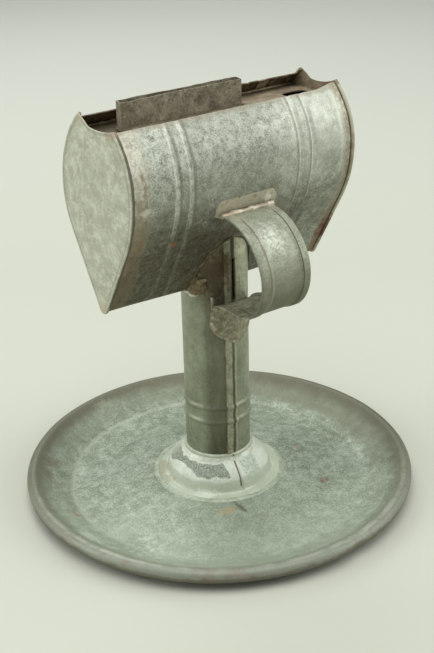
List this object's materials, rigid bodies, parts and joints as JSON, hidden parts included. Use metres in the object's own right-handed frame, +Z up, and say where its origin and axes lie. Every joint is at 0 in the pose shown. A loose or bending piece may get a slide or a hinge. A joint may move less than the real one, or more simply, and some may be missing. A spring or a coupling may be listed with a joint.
{
  "type": "lard lamp",
  "caption": "Tinned-sheet lard lamp: saucer base with rolled rim, round stem and collar, trough-shaped font with recessed deck, flat wick tube with sliding wick, strap handle.",
  "frame": {"origin": "middle of the standing ring, on the surface that the lamp stands on", "axes": "+X along the font towards the filler hole, +Y away from the handle, +Z up"},
  "size_m": [0.178, 0.178, 0.1847],
  "materials": {
    "tinned_sheet": "aged tinned sheet, dull grey-green with worn tin and small rust specks",
    "sooty_sheet": "tinned sheet darkened brown by soot and fat",
    "solder": "dull pale soft solder",
    "iron_wire": "dark drawn iron wire",
    "cotton_wick": "flat woven cotton, charred at its top"
  },
  "bodies": {
    "lamp": {"base_pan": "tinned_sheet", "rim_wire": "iron_wire", "stem_collar": "tinned_sheet", "collar_floor_solder": "solder", "collar_neck_solder": "solder", "stem_tube": "tinned_sheet", "saddle_solder": "solder", "font_wrapper": "tinned_sheet", "left_end_cap": "tinned_sheet", "right_end_cap": "tinned_sheet", "left_cap_solder": "solder", "right_cap_solder": "solder", "font_deck": "sooty_sheet", "deck_solder": "solder", "wick_tube": "sooty_sheet", "wick_tube_solder": "solder", "handle_strap": "tinned_sheet", "handle_top_solder": "solder", "handle_foot_solder": "solder"},
    "wick": {"wick": "cotton_wick"}
  },
  "joints": [
    {"name": "wick_feed", "type": "slide", "parent": "lamp", "child": "wick", "axis": [0, 0, 1], "range_m": [-0.003, 0.012]}
  ]
}
